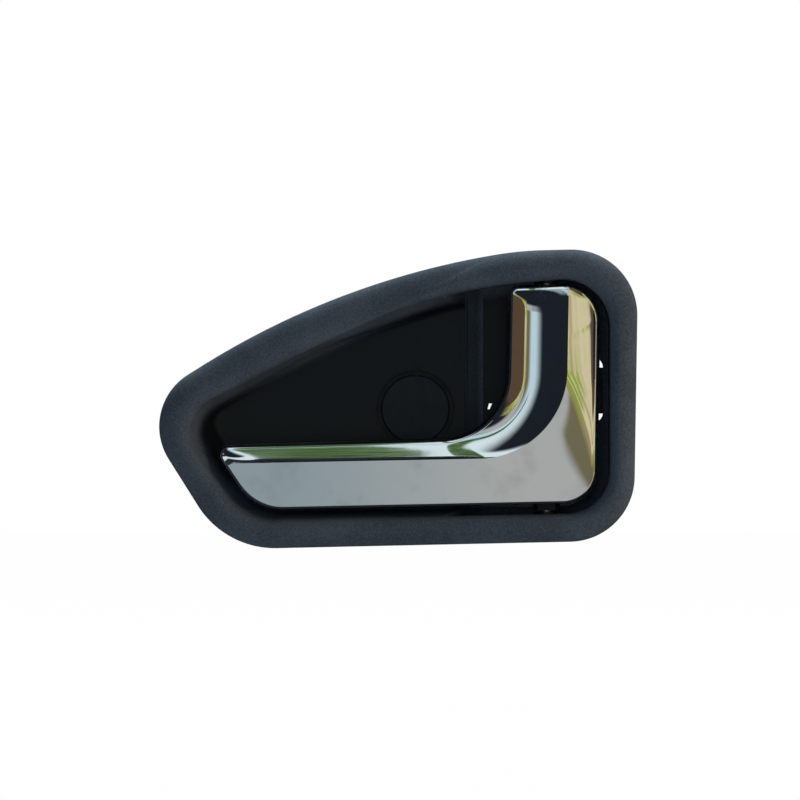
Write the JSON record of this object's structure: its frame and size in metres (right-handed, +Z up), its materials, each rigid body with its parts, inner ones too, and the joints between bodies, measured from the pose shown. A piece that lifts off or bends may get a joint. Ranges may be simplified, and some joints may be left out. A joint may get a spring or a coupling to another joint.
{
  "type": "car interior door handle",
  "caption": "Inside door handle: teardrop surround with a finger bowl, and an L-shaped sprung pull lever on an upright pin whose rear arm pulls a latch rod.",
  "frame": {"origin": "the fixing screw's axis, where the screw boss meets the door's inner panel", "axes": "+X along the door towards the hinge of the lever, +Y into the door, +Z up; the visible face looks towards -Y"},
  "size_m": [0.1604, 0.0521, 0.1002],
  "materials": {
    "surround": "fine moulded grain, dark slate",
    "cover": "satin, dark slate",
    "lever_face": "bright chrome plating on plastic",
    "carrier": "black glass-filled moulding",
    "bush": "black acetal",
    "rod_clip": "natural acetal",
    "pin": "ground steel",
    "sleeve": "zinc-plated steel",
    "spring_steel": "oiled spring steel",
    "screw": "zinc-plated steel",
    "rubber": "black rubber"
  },
  "bodies": {
    "surround": {"bezel": "surround", "screw_cap": "cover", "screw_sleeve": "sleeve", "upper_bush": "bush", "lower_bush": "bush", "hinge_pin": "pin", "pin_ring": "spring_steel", "return_spring": "spring_steel", "open_stop": "rubber", "trim_clip_1": "spring_steel", "trim_clip_2": "spring_steel", "trim_clip_3": "spring_steel"},
    "lever": {"lever_shell": "lever_face", "lever_carrier": "carrier", "rest_stop": "rubber", "shell_screw_1": "screw", "shell_screw_2": "screw", "shell_screw_3": "screw", "shell_screw_4": "screw"},
    "latch_clip": {"rod_clip": "rod_clip"}
  },
  "joints": [
    {"name": "lever_pull", "type": "hinge", "parent": "surround", "child": "lever", "pos_m": [0.044, -0.018, 0], "axis": [0, 0, 1], "range_deg": [0, 35], "stiffness_Nm_per_rad": 0.12, "springref_deg": -40.11, "deforming": ["return_spring"]},
    {"name": "clip_swivel", "type": "hinge", "parent": "lever", "child": "latch_clip", "pos_m": [0.049, 0.016, 0.0063], "axis": [0, 0, 1], "range_deg": [-40, 40]}
  ]
}
